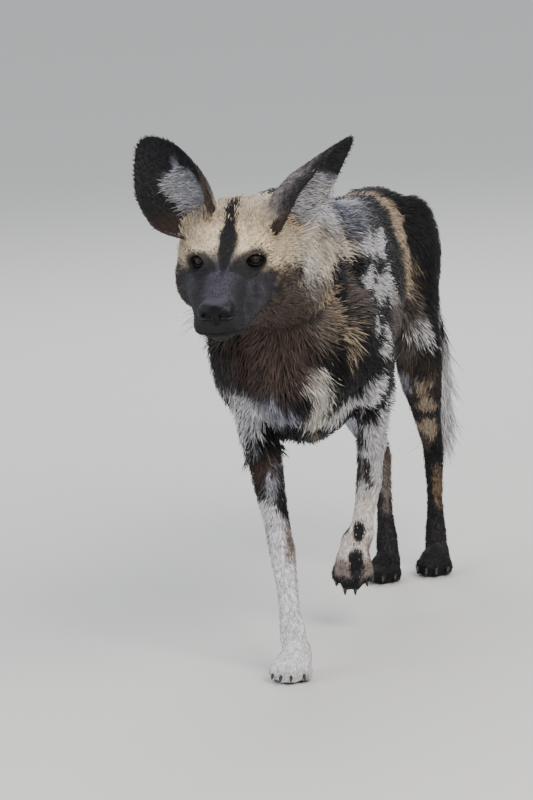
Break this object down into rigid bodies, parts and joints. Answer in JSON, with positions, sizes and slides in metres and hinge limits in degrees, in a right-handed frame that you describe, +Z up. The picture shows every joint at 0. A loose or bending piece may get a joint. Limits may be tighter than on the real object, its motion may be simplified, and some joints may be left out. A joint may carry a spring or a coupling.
{
  "type": "african wild dog",
  "caption": "African wild dog, adult and life size, walking with its left forefoot lifted, its head level and turned a little; blotched coat, rounded ears and a white tail brush.",
  "frame": {"origin": "middle of the dog's box in plan, on the floor under its soles", "axes": "-Y the way the dog faces, +X its left side, +Z up"},
  "size_m": [0.3016, 1.1676, 0.7859],
  "materials": {
    "coat_tan": "short coarse hair",
    "coat_black": "short coarse hair",
    "coat_white": "short coarse hair",
    "coat_brown": "short coarse hair",
    "nose_leather": "bare, pebbled and a little damp",
    "eye": "wet and clear"
  },
  "bodies": {
    "root": {"head": "coat_tan", "neck": "coat_brown", "torso": "coat_black", "ear_left": "coat_black", "ear_right": "coat_black", "nose": "nose_leather", "eye_left": "eye", "eye_right": "eye", "leg_front_left": "coat_white", "leg_front_right": "coat_white", "leg_hind_left": "coat_brown", "leg_hind_right": "coat_brown", "paw_front_left": "coat_black", "paw_front_right": "coat_black", "paw_hind_left": "coat_black", "paw_hind_right": "coat_black", "tail_dock": "coat_black", "tail_brush": "coat_white"}
  },
  "joints": []
}
